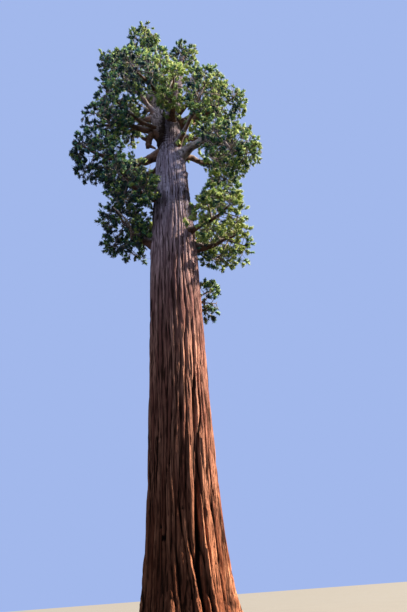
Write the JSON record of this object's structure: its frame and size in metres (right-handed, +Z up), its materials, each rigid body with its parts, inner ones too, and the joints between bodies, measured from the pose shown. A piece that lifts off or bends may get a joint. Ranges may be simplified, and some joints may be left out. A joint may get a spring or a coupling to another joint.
{
  "type": "giant sequoia tree",
  "caption": "Old giant sequoia with a bare furrowed trunk, a flared foot, bent boughs and rounded masses of evergreen foliage, cut flat at ground level.",
  "frame": {"origin": "centre of the flat cut under the trunk, at ground level", "axes": "+Z up along the trunk, -Y towards the viewer of the picture, +X to the viewer's right"},
  "size_m": [11.4944, 10.9199, 40],
  "materials": {
    "trunk_bark": "fibrous furrowed bark, matte",
    "bough_bark": "weathered scaly bark, matte",
    "needles": "evergreen scale leaves, dull"
  },
  "bodies": {
    "root": {"trunk": "trunk_bark", "left_leader": "bough_bark", "bough_upper_left": "bough_bark", "bough_left_shoulder": "bough_bark", "bough_left_inner": "bough_bark", "bough_left_arched": "bough_bark", "bough_left_thick": "bough_bark", "bough_lower_left_front": "bough_bark", "bough_lower_left": "bough_bark", "bough_front": "bough_bark", "bough_front_far": "bough_bark", "bough_front_right": "bough_bark", "bough_upper_right": "bough_bark", "bough_right_rising": "bough_bark", "bough_right_front": "bough_bark", "bough_right_level": "bough_bark", "bough_right_low": "bough_bark", "bough_lower_right_front": "bough_bark", "bough_lower_right": "bough_bark", "bough_back_low_left": "bough_bark", "bough_back_low_right": "bough_bark", "bough_back_middle": "bough_bark", "bough_back_left": "bough_bark", "bough_back_right": "bough_bark", "bough_back_far": "bough_bark", "bough_back_upper_left": "bough_bark", "bough_back_upper_right": "bough_bark", "foliage_crown_top": "needles", "foliage_second_top": "needles", "foliage_top_saddle": "needles", "foliage_upper_left": "needles", "foliage_left_shoulder": "needles", "foliage_left_inner": "needles", "foliage_leader_back": "needles", "foliage_left_middle": "needles", "foliage_far_left": "needles", "foliage_left_under": "needles", "foliage_lower_left_front": "needles", "foliage_lower_left": "needles", "foliage_front_centre": "needles", "foliage_front_left": "needles", "foliage_front_far": "needles", "foliage_front_right": "needles", "foliage_upper_right": "needles", "foliage_right_top": "needles", "foliage_right_front": "needles", "foliage_right_outer": "needles", "foliage_right_hanging": "needles", "foliage_lower_right_front": "needles", "foliage_lower_right": "needles", "foliage_low_tuft": "needles", "foliage_back_low_left": "needles", "foliage_back_low_right": "needles", "foliage_back_middle": "needles", "foliage_back_left": "needles", "foliage_back_right": "needles", "foliage_back_far": "needles", "foliage_back_upper_left": "needles", "foliage_back_upper_right": "needles", "foliage_back_top": "needles"}
  },
  "joints": []
}
